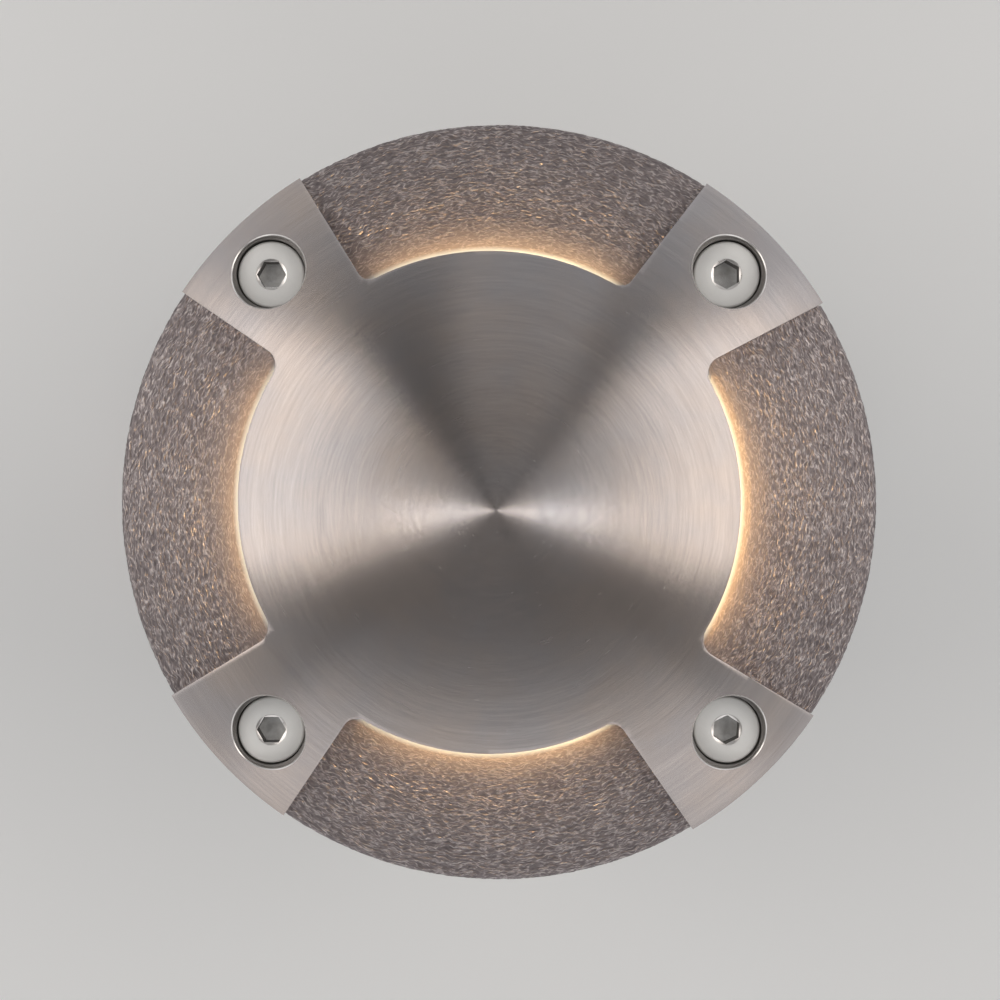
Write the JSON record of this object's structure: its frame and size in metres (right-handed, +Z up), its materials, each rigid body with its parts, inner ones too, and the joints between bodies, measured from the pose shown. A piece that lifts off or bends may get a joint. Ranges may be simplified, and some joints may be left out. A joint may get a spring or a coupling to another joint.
{
  "type": "in ground well light",
  "caption": "Round in-ground light with a domed stainless face, sideways light windows under its lid, a sealed finned housing and a paving sleeve it lifts out of.",
  "frame": {"origin": "centre of the sleeve's flat foot, on the luminaire's axis", "axes": "+Z up along the luminaire's axis, +X along the open conduit socket"},
  "size_m": [0.1396, 0.12, 0.1405],
  "materials": {
    "stainless_face": "cast and machined stainless steel, concentrically brushed on the dome and arms, coarse cast skin on the aprons",
    "screw_head": "satin stainless steel",
    "black_rubber": "moulded silicone rubber",
    "frosted_lens": "frosted opal polycarbonate, lit warm white from inside",
    "red_silicone": "silicone rubber",
    "white_reflector": "spun aluminium with a matt white coat",
    "board_white": "white solder mask on an aluminium core",
    "emitter": "yellow phosphor under clear silicone",
    "zinc_screw": "bright zinc plated",
    "thermal_pad": "soft filled silicone sheet",
    "red_lead": "silicone insulated wire",
    "cast_aluminium": "die-cast, dark grey conversion coat",
    "driver_black": "potted black moulding",
    "terminal_white": "moulded nylon",
    "terminal_brass": "plated brass",
    "gland_nylon": "black moulded nylon",
    "spring_steel": "rolled stainless spring strip",
    "sleeve_plastic": "black moulded polypropylene",
    "conduit_grey": "grey rigid PVC",
    "plug_orange": "orange moulded polyethylene"
  },
  "bodies": {
    "sleeve": {"sleeve": "sleeve_plastic", "sleeve_base": "sleeve_plastic", "conduit_socket_1": "conduit_grey", "conduit_socket_2": "conduit_grey", "blanking_plug": "plug_orange"},
    "luminaire": {"face_cover": "stainless_face", "cover_screws": "screw_head", "cover_gasket": "black_rubber", "diffuser": "frosted_lens", "lens_gasket": "red_silicone", "deflector_cone": "white_reflector", "led_board": "board_white", "led_emitters": "emitter", "board_screws": "zinc_screw", "thermal_pad": "thermal_pad", "led_leads": "red_lead", "housing": "cast_aluminium", "driver_module": "driver_black", "driver_screws": "zinc_screw", "terminal_block": "terminal_white", "terminal_screws": "terminal_brass", "base_cap": "cast_aluminium", "base_o_ring": "black_rubber", "base_screws": "zinc_screw", "gland_washer": "black_rubber", "gland_body": "gland_nylon", "gland_seal": "black_rubber", "gland_nut": "gland_nylon", "spring_screws": "zinc_screw"},
    "spring_1": {"retaining_spring_1": "spring_steel"},
    "spring_2": {"retaining_spring_2": "spring_steel"},
    "spring_3": {"retaining_spring_3": "spring_steel"}
  },
  "joints": [
    {"name": "luminaire_lift", "type": "slide", "parent": "sleeve", "child": "luminaire", "axis": [0, 0, 1], "range_m": [0, 0.095]},
    {"name": "spring_flex_1", "type": "hinge", "parent": "luminaire", "child": "spring_1", "pos_m": [0.044, 0, 0.069], "axis": [0, -1, 0], "range_deg": [0, 3.5], "stiffness_Nm_per_rad": 0.3, "springref_deg": -1.72},
    {"name": "spring_flex_2", "type": "hinge", "parent": "luminaire", "child": "spring_2", "pos_m": [-0.022, 0.0381, 0.069], "axis": [0.866, 0.5, 0], "range_deg": [0, 3.5], "stiffness_Nm_per_rad": 0.3, "springref_deg": -1.72},
    {"name": "spring_flex_3", "type": "hinge", "parent": "luminaire", "child": "spring_3", "pos_m": [-0.022, -0.0381, 0.069], "axis": [-0.866, 0.5, 0], "range_deg": [0, 3.5], "stiffness_Nm_per_rad": 0.3, "springref_deg": -1.72}
  ]
}
